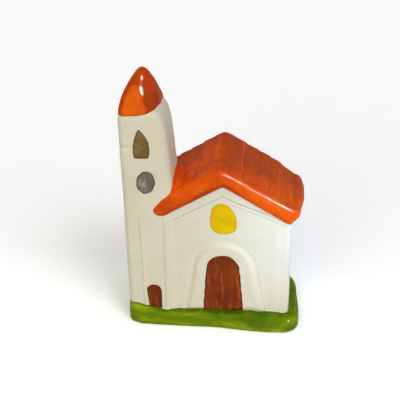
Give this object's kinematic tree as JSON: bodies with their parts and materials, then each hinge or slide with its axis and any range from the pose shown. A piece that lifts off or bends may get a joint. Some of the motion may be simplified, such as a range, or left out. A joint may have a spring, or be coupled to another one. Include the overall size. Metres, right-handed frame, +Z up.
{
  "type": "ceramic ornament church",
  "caption": "Small hand-painted ceramic ornament church: nave with a pitched orange roof, side bell tower with a spire, painted doors and windows, on a green grass base.",
  "frame": {"origin": "centre of the base's underside", "axes": "+X to the right of the church's front, +Y from the front to the back, +Z up"},
  "size_m": [0.066, 0.0356, 0.1],
  "materials": {
    "white_slip": "matt off-white ceramic",
    "orange_glaze": "glossy orange glaze, brushed on",
    "green_glaze": "glossy green glaze, brushed on",
    "brown_glaze": "satin red-brown glaze",
    "yellow_glaze": "satin yellow glaze",
    "olive_glaze": "satin olive-brown glaze",
    "grey_glaze": "satin grey glaze"
  },
  "bodies": {
    "root": {"base_floor": "white_slip", "grass_front": "green_glaze", "grass_back": "green_glaze", "grass_right": "green_glaze", "grass_left": "green_glaze", "grass_rear_corner": "green_glaze", "nave_front_wall": "white_slip", "nave_right_wall": "white_slip", "nave_back_wall": "white_slip", "nave_left_wall": "white_slip", "tower_front_wall": "white_slip", "tower_left_wall": "white_slip", "tower_back_wall": "white_slip", "tower_right_wall": "white_slip", "tower_shoulder": "white_slip", "tower_spire": "orange_glaze", "roof_right_slope": "orange_glaze", "roof_left_slope": "orange_glaze", "roof_ridge": "orange_glaze", "verge_right": "orange_glaze", "verge_left": "orange_glaze", "cornice_right": "white_slip", "cornice_left": "white_slip", "door_arch": "white_slip", "main_door": "brown_glaze", "tower_door": "brown_glaze", "gable_window": "yellow_glaze", "belfry_window": "olive_glaze", "clock_face": "grey_glaze"}
  },
  "joints": []
}
